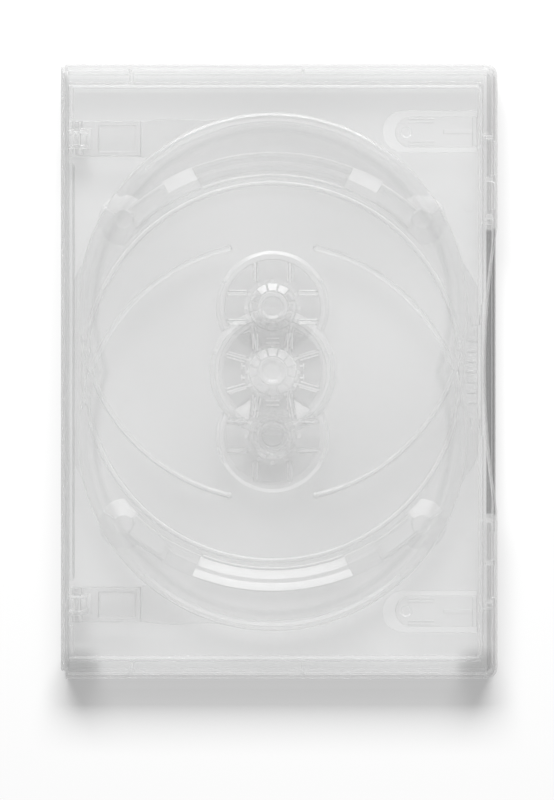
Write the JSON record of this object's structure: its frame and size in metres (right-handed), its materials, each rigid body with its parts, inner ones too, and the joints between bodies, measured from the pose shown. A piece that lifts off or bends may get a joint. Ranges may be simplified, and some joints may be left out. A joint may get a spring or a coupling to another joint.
{
  "type": "multi-disc cd case",
  "caption": "Clear plastic keep case for discs: back shell with a disc hub, two-sided swing tray, spine, front cover with booklet clips and a clear film sleeve.",
  "frame": {"origin": "middle of the closed case's back face", "axes": "+Z out of the front cover, +Y to the top edge of the case, +X to the opening edge, spine at -X"},
  "size_m": [0.135, 0.19, 0.014],
  "materials": {
    "clear_shell": "clear polypropylene, glossy moulded surface",
    "clear_tray": "clear polypropylene, glossy moulded surface",
    "clear_film": "thin clear film, glossy"
  },
  "bodies": {
    "back": {"back_shell": "clear_shell", "film_back": "clear_film"},
    "spine": {"spine": "clear_shell", "film_spine": "clear_film"},
    "cover": {"front_cover": "clear_shell", "film_front": "clear_film"},
    "tray": {"swing_tray": "clear_tray"}
  },
  "joints": [
    {"name": "spine_hinge", "type": "hinge", "parent": "back", "child": "spine", "pos_m": [-0.0675, 0, 0], "axis": [0, -1, 0], "range_deg": [0, 90]},
    {"name": "cover_hinge", "type": "hinge", "parent": "spine", "child": "cover", "pos_m": [-0.0675, 0, 0.014], "axis": [0, -1, 0], "range_deg": [0, 90]},
    {"name": "tray_hinge", "type": "hinge", "parent": "back", "child": "tray", "pos_m": [-0.0628, 0, 0.0079], "axis": [0, -1, 0], "range_deg": [0, 180]}
  ],
  "couplings": [
    {"joint": "cover_hinge", "follows": "spine_hinge", "ratio": 1},
    {"joint": "tray_hinge", "follows": "spine_hinge", "ratio": 2}
  ]
}
